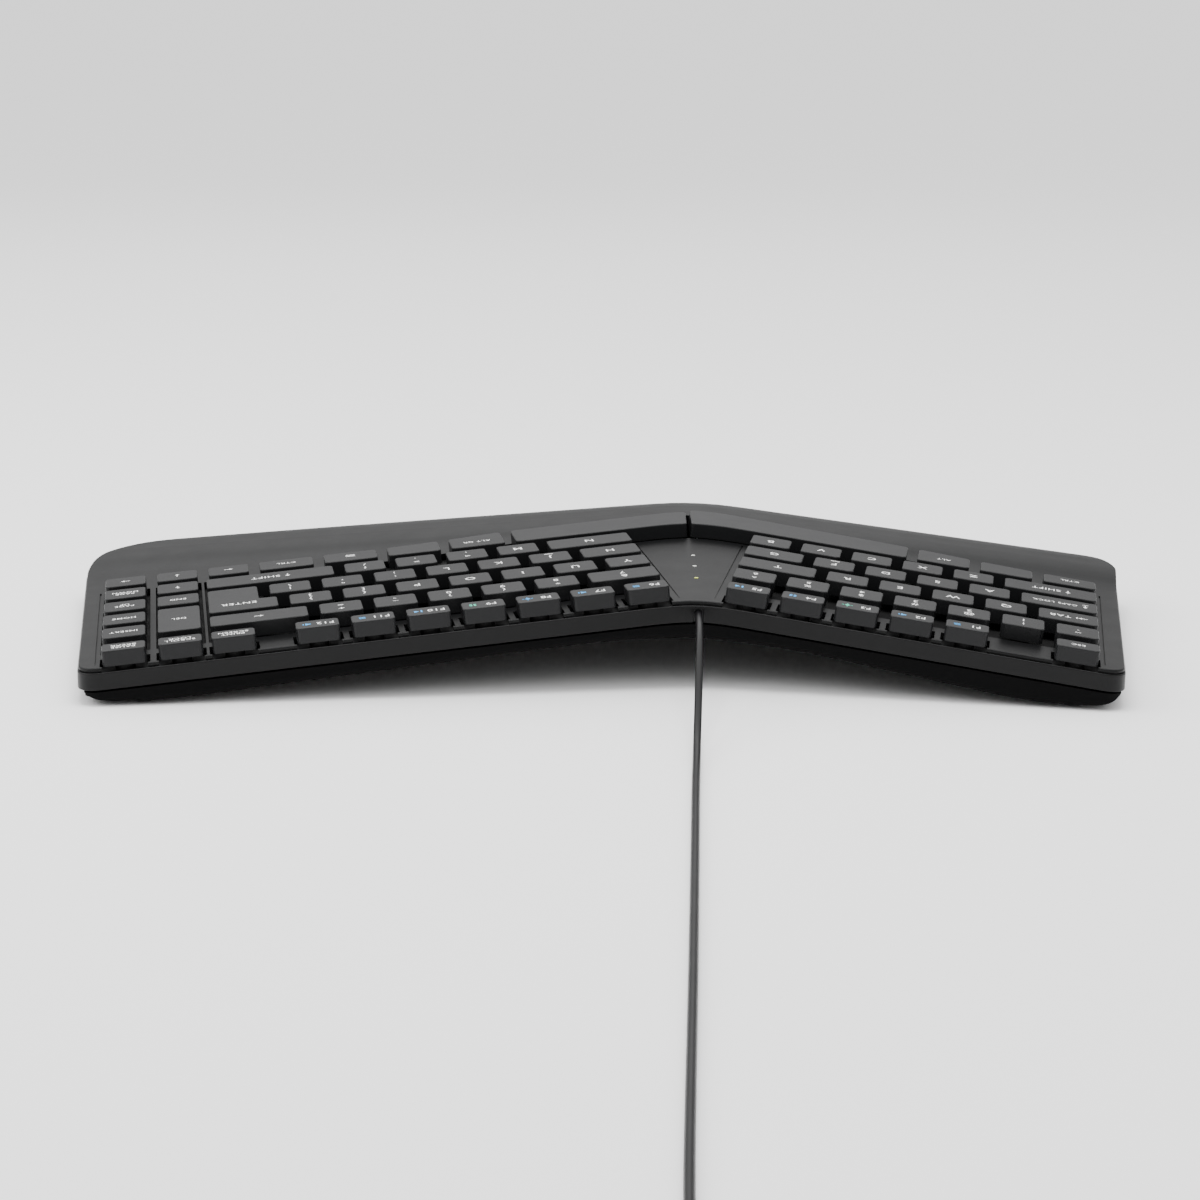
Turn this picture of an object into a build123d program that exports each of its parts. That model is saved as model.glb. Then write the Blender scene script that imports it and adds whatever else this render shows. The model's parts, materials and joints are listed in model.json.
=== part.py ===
from build123d import *
from math import ceil, cos, pi, radians, sin, tan
import os

os.makedirs("parts", exist_ok=True)

# Driving dimensions, in millimetres and degrees
unit = 19.05  # pitch of the keys
splay = 9.23  # each half turns its outer end away from the user
tent_right = 5.33  # fall of the right half towards its outer end
tent_left = 7.15
ridge_height = 37.5  # key tops at the rear end of the ridge between the halves
ridge_radius = 155.0  # rounding of that ridge at the level of the key tops

# Levels below the key tops
cap_height = 5.4
key_travel = 2.5
press_clearance = 0.4  # from a pressed key to what lies under it
deck_depth = 5.5
palm_depth = 2.0
cover_thickness = 1.6
sheet_gap = 0.1  # between the sheets that lie on each other
skirt_clearance = 0.3  # from a pressed cap's skirt to the key plate
plate_thickness = 1.2
dome_space = 1.4  # from the key plate to the dome sheet
dome_sheet_thickness = 0.6
membrane_thickness = 0.4
band_height = 6.1
groove_height = 0.7  # between the band and the hull
lip_space = 0.5  # between the lowest sheet and the hull's lip inside the band

# Key caps
cap_gap = 4.25  # between neighbouring caps in a row
cap_depth = 13.9
cap_corner_radius = 1.5
cap_edge_radius = 0.45
cap_wall = 1.0
cap_roof = 1.3
stem_radius = 2.4
sleeve_clearance = 0.2
sleeve_wall = 0.8
dome_wall = 0.5
dome_foot_radius = 3.0
dome_head_radius = 1.4
dome_clearance = 0.1
well_clearance = 1.1
mouth_clearance = 0.35  # beside the function keys, where their wells open to the rear
mouth_depth = 1.8
wide_key = 1.9 * unit  # from this width a key has a guide post each side of its stem
post_share = 0.33  # of the cap's width, from its middle to a guide post

# Places of the key rows, in units behind each other from the rear
function_row = 0.465
function_cap_depth = 9.65
first_row = 1.5
bottom_row_rear = 5.15
inner_cell = 0.3775  # where the cells of a half begin, out from the ridge
inner_column = 9.32
outer_column = 10.32
space_gap = 2.0  # between the two space bars

# Front edge of the bottom row: (least, rise, from, to), in units
bottom_front = {1: (5.84, 0.36, 1.8, 5.4), -1: (5.77, 0.58, 0.3, 7.3)}

# Outline of the body
rear_margin = 3.2  # from the ridge point to the rear edge
side_margin = {1: 8.2, -1: 9.2}
front_depth = 155.0
front_fall = {1: 7.0, -1: 3.0}  # how far the front edge falls back at each end
front_corner_radius = {1: 32.0, -1: 26.0}
rear_corner_radius = 7.8
rear_middle_radius = 30.0
cover_inset = 0.4
cover_edge_radius = 0.6
cover_groove = 0.8
band_wall = 2.2
band_edge_radius = 0.5
hull_inset = 0.6
hull_wall = 1.5
hull_floor = 2.0
hull_edge_radius = 2.0
joint_clearance = 0.2
sheet_clearance = 0.4  # between the sheets and the band

# Palm rest, measured from the ridge point towards the user
ramp_start = 103.0
ramp_end = 130.0
crest_end = 139.0
brow_fall = 3.2  # how far the front of the palm rest falls below its crest
sheet_front = 124.0  # the sheets end behind the palm rest's screws
sheet_rear = 2.0
sheet_middle = 5.2  # from the middle to the inner edge of each sheet

# Arch under the body
arch_peak = 20.9
arch_radius = 340.0
arch_foot = {1: 181.0, -1: 115.0}
arch_foot_radius = 150.0
wing_cut = {1: (14.0, 6.0), -1: (12.5, 6.5)}  # how far in and how high the wings' ends curve up
foot_height = 0.9
foot_recess = 0.6
foot_length = 24.0
foot_width = 8.0
foot_places = {1: ((190.0, 12.0), (208.0, -96.0)), -1: ((-130.5, 2.0), (-148.0, -108.0))}
foot_clearance = 0.1

# Grooves beside the wells
groove_width = 0.6
groove_depth = 0.5
pod_groove = 0.3 * unit
bezel_groove = 1.4  # beyond the outermost well
groove_start = 0.45
pod_groove_end = 4.95
bezel_groove_end = 5.9

# Indicator lenses on the middle, from the ridge point towards the user
lens_radius = 0.8
lens_places = (36.1, 53.8, 70.4)
lens_side = -0.6
lens_length = 2.4
lens_rise = 0.1
lens_clearance = 0.05

# Case screws, placed in units on each half
screw_places = {
    1: ((7.63, 0.56), (1.6, 7.05), (6.3, 7.15), (10.3, 7.2)),
    -1: ((5.88, 0.56), (1.9, 7.1), (6.6, 7.2)),
}
screw_radius = 1.25
screw_head_radius = 2.3
screw_head_height = 1.2
screw_seat = 15.4  # depth at which the heads bear on the hull
screw_length = 6.0
screw_slot_depth = 0.6
screw_slot_width = 0.6
boss_radius = 3.0
boss_meeting = 12.0  # depth at which the cover's bosses meet the hull's
thread_clearance = 0.05
hole_clearance = 0.2

# Controller board under the middle
board_width = 62.0
board_depth = 20.0
board_thickness = 1.2
board_rear = 14.0
board_height = 20.0
board_post_radius = 2.2
board_post_inset = 4.0
chip_size = 8.0
chip_height = 0.9

# Cord, its slot and its grommet
cord_radius = 1.3
slot_width = 3.6
slot_side = -0.3
cord_exit_height = 26.6
slot_top = 28.5
grommet_clearance = 0.1
grommet_height = 4.6
grommet_recess = 0.8
grommet_flange = 1.2  # how far the grommet's flange stands over the slot
grommet_flange_thickness = 1.2
cord_seat = 2.4  # how far the cord reaches into the grommet
rib_thickness = 1.6
rib_places = {1: (3.0, 5.2, 7.4, 9.4), -1: (3.0, 5.4)}
rib_range = (28.0, 112.0)
coil_rings = 5  # turns in each of its two layers
coil_middle_radius = 15.6
coil_gap = 0.45  # between neighbouring turns
coil_distance = 436.5  # from the ridge point to the coil's middle
tie_thickness = 0.4
tie_width = 3.5
tie_clearance = 0.05
tie_slack = 0.35  # beside the innermost turn, which bends away from the tie
plug_tail = 22.0
grip_length = 21.0
grip_width = 15.0
grip_radius = 2.2
shell_length = 12.2
shell_width = 12.0
shell_height = 4.5
shell_wall = 0.4
shell_seat = 3.0
tongue_thickness = 1.6
tongue_recess = 0.6

# Levels that follow from the ones above
cover_bottom = deck_depth + cover_thickness
plate_top = cap_height + key_travel + skirt_clearance
plate_bottom = plate_top + plate_thickness
dome_top = plate_bottom + dome_space
dome_bottom = dome_top + dome_sheet_thickness
membrane_top = dome_bottom + sheet_gap
membrane_bottom = membrane_top + membrane_thickness
band_bottom = cover_bottom + band_height
hull_top = band_bottom + groove_height
lip_top = membrane_bottom + lip_space
stem_end = dome_top - key_travel - press_clearance
sleeve_top = cap_roof + key_travel + press_clearance
tall = 2 * ridge_height

# The two halves: 1 is the user's right and -1 the left
sides = (1, -1)
tents = {1: tent_right, -1: tent_left}
splay_sine = sin(radians(splay))
splay_cosine = cos(radians(splay))


def outward(side):
    """Direction along the rows of a half, away from the middle."""
    tent = radians(tents[side])
    return Vector(side * splay_cosine * cos(tent), splay_sine * cos(tent), -sin(tent))


def towards_user(side):
    """Direction along the columns of a half, towards the user."""
    return Vector(side * splay_sine, -splay_cosine, 0)


def plan_point(side, out, front):
    """Place in plan of a point on a half, from the ridge point."""
    point = outward(side) * out + towards_user(side) * front
    return (point.X, point.Y)


def cell_edge(cells):
    """Distance from the ridge to the far edge of the last cap in a half's cells."""
    return (inner_cell + cells) * unit - cap_gap / 2


right_keys_edge = (outer_column + 0.5) * unit - cap_gap / 2
left_keys_edge = cell_edge(7)
keys_edge = {1: right_keys_edge, -1: left_keys_edge}
body_side = {side: keys_edge[side] + side_margin[side] for side in sides}


def front_corner(side):
    """Corner in plan where a side line of the body meets its front line."""
    front_y = front_fall[side] - front_depth
    x, y = plan_point(side, body_side[side], 0)
    run = (y - front_y) / splay_cosine
    return (x + side * splay_sine * run, front_y)


# Outline of the body in plan, with the ridge point at its origin
rear_middle = (0, -rear_margin / splay_cosine)
rear_face = (rear_middle_radius * (1 - splay_cosine) - rear_margin) / splay_cosine
front_middle = ((front_corner(1)[0] + front_corner(-1)[0]) / 2, -front_depth)
with BuildSketch() as outline:
    with BuildLine():
        Polyline(
            front_corner(-1),
            plan_point(-1, body_side[-1], rear_margin),
            rear_middle,
            plan_point(1, body_side[1], rear_margin),
            front_corner(1),
        )
        ThreePointArc(front_corner(1), front_middle, front_corner(-1))
    make_face()
    fillet(vertices().sort_by_distance(rear_middle)[0], rear_middle_radius)
    for side in sides:
        fillet(vertices().sort_by_distance(front_corner(side))[0], front_corner_radius[side])
        rear_corner = plan_point(side, body_side[side], rear_margin)
        fillet(vertices().sort_by_distance(rear_corner)[0], rear_corner_radius)

# The body's box is centred on the origin, so the ridge point is a little left and well behind it
outline_box = outline.sketch.bounding_box()
ridge_x = -outline_box.center().X
ridge_y = -outline_box.center().Y
ridge = Vector(ridge_x, ridge_y, ridge_height)
ground = Plane(origin=(ridge_x, ridge_y, 0))
halves = {
    side: Plane(
        origin=ridge,
        x_dir=outward(side) * side,
        z_dir=(outward(side) * side).cross(towards_user(side) * -1),
    )
    for side in sides
}

# Section across the ridge, in which both halves are straight lines
ridge_direction = halves[1].z_dir.cross(halves[-1].z_dir).normalized()
fold = Plane(origin=ridge, x_dir=Vector(0, 0, 1).cross(ridge_direction), z_dir=ridge_direction)
fold_up = (halves[1].z_dir + halves[-1].z_dir).normalized()
fold_cosine = fold_up.dot(halves[1].z_dir)
fold_reach = 2 * front_depth


def fold_points(depth):
    """Left end, apex and right end of the folded surface at this depth, in the section."""
    apex = ridge - fold_up * (depth / fold_cosine)
    right = apex + halves[1].z_dir.cross(ridge_direction) * fold_reach
    left = apex + ridge_direction.cross(halves[-1].z_dir) * fold_reach
    places = [fold.to_local_coords(point) for point in (left, apex, right)]
    return [(place.X, place.Y) for place in places]


def keep_between(top, bottom):
    """Cuts the part being built down to what lies between two depths below the key tops."""
    with BuildSketch(fold) as layer:
        with BuildLine():
            Polyline(*fold_points(top), *reversed(fold_points(bottom)), close=True)
        make_face()
        for depth in (top, bottom):
            fillet(vertices().sort_by_distance(fold_points(depth)[1])[0], ridge_radius - depth)
    extrude(layer.sketch, amount=fold_reach, both=True, mode=Mode.INTERSECT)


def slab(inset, top, bottom):
    """The body's outline, drawn in by an inset, between two depths below the key tops."""
    with BuildPart() as part:
        with BuildSketch(ground):
            add(outline.sketch)
            if inset > 0:
                offset(amount=-inset)
        extrude(amount=tall)
        keep_between(top, bottom)
    return part.part


def deck_block(inset, drop):
    """What lies under the deck and the palm rest, lowered by a drop."""
    with BuildLine(fold, mode=Mode.PRIVATE) as path:
        Polyline(*fold_points(0))
        fillet(path.vertices().sort_by_distance(ridge)[0], ridge_radius)
    start = path.wire() @ 0
    section = Plane(origin=start, x_dir=ridge_direction, z_dir=path.wire() % 0)
    ramp_middle = ((ramp_start + ramp_end) / 2, (deck_depth + palm_depth) / 2 + drop)
    deck_level = deck_depth + drop
    palm_level = palm_depth + drop
    with BuildPart() as part:
        with BuildSketch(section):
            with BuildLine():
                rear = Line((-fold_reach / 2, deck_level), (ramp_start, deck_level))
                foot = TangentArc(rear @ 1, ramp_middle, tangent=rear % 1)
                head = TangentArc(foot @ 1, (ramp_end, palm_level), tangent=foot % 1)
                crest = Line(head @ 1, (crest_end, palm_level))
                brow = TangentArc(crest @ 1, (front_depth + 2, palm_level + brow_fall), tangent=crest % 1)
                Polyline(brow @ 1, (front_depth + 2, tall), (-fold_reach / 2, tall), rear @ 0)
            make_face()
        sweep(path=path.wire())
        with BuildSketch(ground):
            add(outline.sketch)
            if inset > 0:
                offset(amount=-inset)
        extrude(amount=tall, mode=Mode.INTERSECT)
    return part.part


def front_edge(side, out):
    """Front edge of the bottom row at a distance out from the ridge, from the ridge point."""
    least, rise, start, end = bottom_front[side]
    share = min(max((out / unit - start) / (end - start), 0), 1)
    return (least + rise * (1 + cos(pi * share)) / 2) * unit


def middle_out(side, front, gap):
    """How far out on a half a line beside the body's middle lies, at a distance from the rear."""
    return (gap - front * splay_sine) / (splay_cosine * cos(radians(tents[side])))


def on_half(side, points):
    """Turns (out, front) places on a half into points of its plane."""
    return [(side * out, -front) for out, front in points]


def box_corners(inner, outer, rear, front):
    return [(inner, rear), (outer, rear), (outer, front), (inner, front)]


def polygon(points, corner_radius=0.0, inset=0.0):
    """Face with these corners, rounded and drawn in."""
    with BuildSketch() as face:
        with BuildLine():
            Polyline(*points, close=True)
        make_face()
        if corner_radius > 0:
            fillet(vertices(), corner_radius)
        if inset > 0:
            offset(amount=-inset)
    return face.sketch


def top_rim(part, up):
    """Edges round the upper side of a part, without those that only divide it."""
    tops = part.faces().filter_by(lambda face: face.normal_at().dot(up) > 0.95)
    found = [edge for face in tops for edge in face.edges()]
    return [edge for edge in found if sum(edge.is_same(other) for other in found) == 1]


def make_cap(side, corners, stems, folded):
    """One key cap, hollow from below, with its stem and guide posts."""
    half = halves[side]
    rise = 2.0 if folded else 0.0
    with BuildPart() as hollow:
        with BuildSketch(half.offset(-cap_height - 2 * rise)):
            add(polygon(on_half(side, corners), cap_corner_radius, cap_wall))
        extrude(amount=cap_height - cap_roof + 3 * rise)
        if folded:
            keep_between(cap_roof, cap_height + rise)
    with BuildPart() as cap:
        with BuildSketch(half.offset(-cap_height - rise)):
            add(polygon(on_half(side, corners), cap_corner_radius))
        extrude(amount=cap_height + 2 * rise if folded else cap_height)
        if folded:
            keep_between(0, cap_height)
        fillet(top_rim(cap.part, half.z_dir), cap_edge_radius)
        add(hollow.part, mode=Mode.SUBTRACT)
        with BuildSketch(half.offset(-stem_end)):
            with Locations(*on_half(side, stems)):
                Circle(stem_radius)
        extrude(amount=stem_end - cap_roof + (cap_roof - rise / 4 - 0.6 if folded else 0))
    return cap.part


# Layout: the keys of each row from the middle outwards, as (node, how many, width in units)
layout = {
    1: {
        0: [("function_keys_right", 7, 1.0), ("", 1, 0.5), ("key_print", 1, 1.0)],
        1: [("key_seven", 1, 1.5), ("number_keys_right", 5, 1.0), ("key_backspace", 1, 2.0)],
        2: [("letter_keys_upper_right", 7, 1.0)],
        3: [("key_h", 1, 4 / 3), ("letter_keys_home_right", 6, 1.0)],
        4: [("key_n", 1, 11 / 6), ("letter_keys_lower_right", 4, 1.0), ("key_shift_right", 1, 8 / 3)],
    },
    -1: {
        0: [("function_keys_left", 5, 1.0), ("", 1, 1.0), ("key_escape", 1, 1.0)],
        1: [("number_keys_left", 7, 1.0)],
        2: [("key_t", 1, 5 / 3), ("letter_keys_upper_left", 4, 1.0), ("key_tab", 1, 4 / 3)],
        3: [("key_g", 1, 4 / 3), ("letter_keys_home_left", 4, 1.0), ("key_caps_lock", 1, 5 / 3)],
        4: [("letter_keys_lower_left", 5, 1.0), ("key_shift_left", 1, 2.0)],
    },
}
bottom_layout = {
    1: (2.76, [("key_alt_right", 1.28), ("key_function", 1.25), ("key_menu", 1.26),
               ("key_control_right", 1.27), ("arrow_left", 1.0)]),
    -1: (3.63, [("key_alt_left", 1.25), ("key_system", 1.25), ("key_control_left", 1.25)]),
}


def row_range(row):
    """Rear and front of the caps in a row, from the ridge point."""
    if row == 0:
        middle = function_row * unit
        return (middle - function_cap_depth / 2, middle + function_cap_depth / 2)
    middle = (first_row + row - 1) * unit
    return (middle - cap_depth / 2, middle + cap_depth / 2)


keys = []  # (node, side, corners, stems, whether it follows the ridge)


def place_key(node, side, corners, folded=False):
    """Adds a key with its stem in its middle, and guide posts if it is long."""
    outs = [corner[0] for corner in corners]
    fronts = [corner[1] for corner in corners]
    middle = (sum(outs) / len(outs), (min(fronts) + max(fronts)) / 2)
    stems = [middle]
    width = max(outs) - min(outs)
    depth = max(fronts) - min(fronts)
    if width > wide_key:
        stems += [(middle[0] - post_share * width, middle[1]), (middle[0] + post_share * width, middle[1])]
    elif depth > wide_key / 1.2:
        stems += [(middle[0], middle[1] - post_share * depth), (middle[0], middle[1] + post_share * depth)]
    keys.append((node, side, corners, stems, folded))


for side, rows in layout.items():
    for row, entries in rows.items():
        start = inner_cell
        for node, count, width in entries:
            for _ in range(count):
                if node:
                    edges = (start * unit + cap_gap / 2, (start + width) * unit - cap_gap / 2)
                    place_key(node, side, box_corners(*edges, *row_range(row)))
                start += width
for side, (start, entries) in bottom_layout.items():
    for node, width in entries:
        inner = start * unit + cap_gap / 2
        outer = (start + width) * unit - cap_gap / 2
        rear = bottom_row_rear * unit
        outer_front = front_edge(side, outer)
        inner_front = front_edge(side, inner)
        corners = [(inner, rear), (outer, rear), (outer, outer_front), (inner, inner_front)]
        place_key(node, side, corners)
        start += width

# The tall enter key reaches over two rows and is wider in the rear one
enter_outer = cell_edge(8.5)
enter_inner = cell_edge(7.0) + cap_gap
enter_step = cell_edge(22 / 3) + cap_gap
enter_rear, enter_middle = row_range(2)
keys.append(
    (
        "key_enter",
        1,
        [
            (enter_inner, enter_rear),
            (enter_outer, enter_rear),
            (enter_outer, row_range(3)[1]),
            (enter_step, row_range(3)[1]),
            (enter_step, enter_middle),
            (enter_inner, enter_middle),
        ],
        [
            ((enter_step + enter_outer) / 2, (enter_rear + row_range(3)[1]) / 2),
            ((enter_step + enter_outer) / 2, enter_rear + cap_depth / 2),
            ((enter_step + enter_outer) / 2, row_range(3)[1] - cap_depth / 2),
        ],
        False,
    )
)

# The two outer columns of the right half
column_half = (unit - cap_gap) / 2
columns = {
    inner_column: [
        ("navigation_keys_inner", row_range(0)),
        ("key_delete", (row_range(1)[0], row_range(2)[1])),
        ("navigation_keys_inner", row_range(3)),
        ("arrow_up", row_range(4)),
        ("arrow_down", (bottom_row_rear * unit, front_edge(1, inner_column * unit))),
    ],
    outer_column: [
        *(("navigation_keys_outer", row_range(row)) for row in range(5)),
        ("arrow_right", (bottom_row_rear * unit, front_edge(1, outer_column * unit))),
    ],
}
for column, entries in columns.items():
    inner = column * unit - column_half
    for node, rows in entries:
        place_key(node, 1, box_corners(inner, inner + 2 * column_half, *rows))

# The space bars meet beside the middle and bend over the ridge
space_ends = {side: bottom_layout[side][0] * unit - cap_gap / 2 for side in sides}
space_rear = bottom_row_rear * unit
for side, node in ((1, "key_space_right"), (-1, "key_space_left")):
    front = front_edge(side, 0)
    corners = [
        (middle_out(side, space_rear, space_gap / 2), space_rear),
        (space_ends[side], space_rear),
        (space_ends[side], front_edge(side, space_ends[side])),
        (middle_out(side, front, space_gap / 2), front),
    ]
    place_key(node, side, corners, folded=True)

# Caps: one node for a key that stands alone, and one for a bank of like keys
for node in dict.fromkeys(key[0] for key in keys):
    caps = [make_cap(*key[1:]) for key in keys if key[0] == node]
    with BuildPart() as bank:
        for cap in caps:
            add(cap)
    bank.part.label = node
    export_step(bank.part, f"parts/{node}.step")


def well_corners(side):
    """Corners of the well that the letter keys and the space bar of a half share."""
    inner = inner_cell * unit + cap_gap / 2 - well_clearance
    outer = cell_edge(8.5 if side == 1 else 7) + well_clearance
    rear = row_range(1)[0] - well_clearance
    pod_front = bottom_row_rear * unit - well_clearance
    beyond = -space_gap / 2
    steps = 9
    last = front_edge(side, 0) + well_clearance
    first_out = middle_out(side, last, beyond)
    fronts = [outer + (first_out - outer) * step / steps for step in range(steps + 1)]
    curve = [(out, front_edge(side, max(out, 0)) + well_clearance) for out in fronts]
    return [
        (inner, rear),
        (outer, rear),
        *curve,
        (middle_out(side, pod_front, beyond), pod_front),
        (inner, pod_front),
    ]


def wells(side):
    """Openings of the wells of one half, in plan on its plane."""
    with BuildSketch() as openings:
        add(polygon(on_half(side, well_corners(side)), 0.8))
        for _, key_side, corners, _, _ in keys:
            inner, rear = corners[0]
            outer = corners[1][0]
            front = corners[2][1]
            if key_side == side and rear < row_range(0)[1]:
                well_rear = rear - cap_wall + mouth_depth
                well_front = front + well_clearance
                well = box_corners(inner - well_clearance, outer + well_clearance, well_rear, well_front)
                mouth = box_corners(inner - mouth_clearance, outer + mouth_clearance, -2 * rear_margin, front)
                add(polygon(on_half(side, well)))
                add(polygon(on_half(side, mouth)))
        if side == 1:
            for column in (inner_column, outer_column):
                inner = column * unit - column_half - well_clearance
                outer = column * unit + column_half + well_clearance
                last = front_edge(1, column * unit) + well_clearance
                first = row_range(1)[0] - well_clearance
                add(polygon(on_half(side, box_corners(inner, outer, first, last)), 0.8))
    return openings.sketch


def press_pockets(side):
    """Room in the band for the pressed caps of the rear row, in plan on the plane of a half."""
    with BuildSketch() as openings:
        for _, key_side, corners, _, _ in keys:
            inner, rear = corners[0]
            outer = corners[1][0]
            front = corners[2][1]
            if key_side == side and rear < row_range(0)[1]:
                edges = (inner - mouth_clearance, outer + mouth_clearance)
                add(polygon(on_half(side, box_corners(*edges, rear - mouth_clearance, front))))
    return openings.sketch


def grooves(side):
    """Thin grooves beside the wells of one half, in plan on its plane."""
    bezel = keys_edge[side] + well_clearance + bezel_groove
    with BuildSketch() as lines:
        for middle, end in ((pod_groove, pod_groove_end), (bezel, bezel_groove_end)):
            edges = (middle - groove_width / 2, middle + groove_width / 2)
            add(polygon(on_half(side, box_corners(*edges, groove_start * unit, end * unit))))
    return lines.sketch


def screw_points(side):
    """Places of the case screws on the plane of a half."""
    return on_half(side, [(out * unit, front * unit) for out, front in screw_places[side]])


# Top cover: a shell under the deck and the palm rest, with wells, grooves, lens holes and bosses
groove_top = cover_bottom - groove_height
with BuildPart() as edge_groove:
    with BuildSketch(ground):
        add(outline.sketch)
        offset(outline.sketch, amount=-cover_inset - cover_groove, mode=Mode.SUBTRACT)
    extrude(amount=tall)
    keep_between(groove_top, cover_bottom + 1)
with BuildPart() as cover_bosses:
    for side in sides:
        with BuildSketch(halves[side].offset(-boss_meeting)):
            with Locations(*screw_points(side)):
                Circle(boss_radius)
                Circle(screw_radius + thread_clearance, mode=Mode.SUBTRACT)
        extrude(amount=boss_meeting)
    add(deck_block(cover_inset, cover_thickness / 2), mode=Mode.INTERSECT)
with BuildPart() as top_cover:
    add(deck_block(cover_inset, 0))
    fillet(top_rim(top_cover.part, Vector(0, 0, 1)), cover_edge_radius)
    keep_between(0, cover_bottom)
    add(deck_block(cover_inset + band_wall, cover_thickness), mode=Mode.SUBTRACT)
    add(edge_groove.part, mode=Mode.SUBTRACT)
    for side in sides:
        with BuildSketch(halves[side].offset(-cover_bottom - 2 * palm_depth)):
            add(wells(side))
        extrude(amount=cover_bottom + 2 * palm_depth, mode=Mode.SUBTRACT)
        with BuildSketch(halves[side].offset(-deck_depth - groove_depth)):
            add(grooves(side))
        extrude(amount=deck_depth, mode=Mode.SUBTRACT)
    add(cover_bosses.part)
    with BuildSketch(ground):
        with Locations(*[(lens_side, -place) for place in lens_places]):
            Circle(lens_radius)
    extrude(amount=tall, mode=Mode.SUBTRACT)
top_cover.part.label = "top_cover"
export_step(top_cover.part, "parts/top_cover.step")

# Indicator lenses, just above the deck
ridge_climb = ridge_direction.Z / ridge_direction.Y
ridge_drop = (ridge_radius - deck_depth) * (1 / fold_cosine - 1)
with BuildPart() as indicator_lenses:
    for place in lens_places:
        lens_top = ridge_height - place * ridge_climb - deck_depth / fold_cosine - ridge_drop + lens_rise
        with BuildSketch(Plane(origin=(ridge_x + lens_side, ridge_y - place, lens_top - lens_length))):
            Circle(lens_radius - lens_clearance)
        extrude(amount=lens_length)
indicator_lenses.part.label = "indicator_lenses"
export_step(indicator_lenses.part, "parts/indicator_lenses.step")

# Slot for the cord, through the band's rear wall and the hull's lip
with BuildPart() as cord_slot:
    with BuildSketch(Plane(origin=(ridge_x + slot_side, ridge_y, 0), x_dir=(1, 0, 0), z_dir=(0, 1, 0))):
        with Locations((0, -slot_top)):
            Rectangle(slot_width, tall, align=(Align.CENTER, Align.MIN))
    extrude(amount=4 * band_wall, both=True)
    keep_between(0, band_bottom + groove_height)

# Middle band: a ring round the body
with BuildPart() as mid_band:
    with BuildSketch(ground):
        add(outline.sketch)
        offset(outline.sketch, amount=-band_wall, mode=Mode.SUBTRACT)
    extrude(amount=tall)
    keep_between(cover_bottom, band_bottom)
    rims = [edge for up in (1, -1) for edge in top_rim(mid_band.part, Vector(0, 0, up))]
    fillet(rims, band_edge_radius)
    for side in sides:
        with BuildSketch(halves[side].offset(-plate_top)):
            add(press_pockets(side))
        extrude(amount=plate_top, mode=Mode.SUBTRACT)
    add(cord_slot.part, mode=Mode.SUBTRACT)
mid_band.part.label = "mid_band"
export_step(mid_band.part, "parts/mid_band.step")


def above_arch(lift):
    """Sketch, across the body, of what lies above the arch and the feet's level."""
    level = foot_height + lift
    peak = arch_peak + lift
    with BuildSketch(Plane(origin=(ridge_x, 0, 0), x_dir=(1, 0, 0), z_dir=(0, -1, 0))) as profile:
        with BuildLine():
            Polyline(
                (-fold_reach, tall),
                (-fold_reach, level),
                (-arch_foot[-1], level),
                (0, peak),
                (arch_foot[1], level),
                (fold_reach, level),
                (fold_reach, tall),
                close=True,
            )
        make_face()
        fillet(vertices().sort_by_distance((0, peak))[0], arch_radius)
        for side in sides:
            fillet(vertices().sort_by_distance((side * arch_foot[side], level))[0], arch_foot_radius)
    return profile.sketch


def wing_end(side, lift):
    """What is cut away along the lower side of a wing, where it curves up to the hull's side."""
    width, height = wing_cut[side]
    x, y = plan_point(side, body_side[side] - hull_inset, 0)
    section = Plane(
        origin=(ridge_x + x, ridge_y + y, foot_height + lift),
        x_dir=(side * splay_cosine, splay_sine, 0),
        z_dir=towards_user(side),
    )
    top = side * height
    with BuildPart() as part:
        with BuildSketch(section):
            with BuildLine():
                curve = Bezier((-width, 0), (-0.45 * width, 0), (0, 0.4 * top), (0, top))
                Polyline(curve @ 1, (width, top), (width, -top), (-width, -top), curve @ 0)
            make_face()
        extrude(amount=2 * front_depth, both=True)
    return part.part


# Hull: a tray with a lip inside the band, bosses, ribs and posts for the controller board
lip_inset = band_wall + joint_clearance
hull_cavity_inset = lip_inset + hull_wall
with BuildPart() as hull_form:
    with BuildSketch(ground):
        offset(outline.sketch, amount=-hull_inset)
    extrude(amount=tall)
    keep_between(hull_top, 2 * tall)
    extrude(above_arch(0), amount=fold_reach, both=True, mode=Mode.INTERSECT)
    fillet(top_rim(hull_form.part, Vector(0, 0, -1)), hull_edge_radius)
    for side in sides:
        add(wing_end(side, 0), mode=Mode.SUBTRACT)
with BuildPart() as hull_lip:
    add(slab(lip_inset, lip_top, hull_top + hull_floor))
    add(cord_slot.part, mode=Mode.SUBTRACT)
with BuildPart() as hull_cavity:
    add(slab(hull_cavity_inset, 0, 2 * tall))
    extrude(above_arch(hull_floor), amount=fold_reach, both=True, mode=Mode.INTERSECT)
    for side in sides:
        add(wing_end(side, hull_floor), mode=Mode.SUBTRACT)
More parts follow.
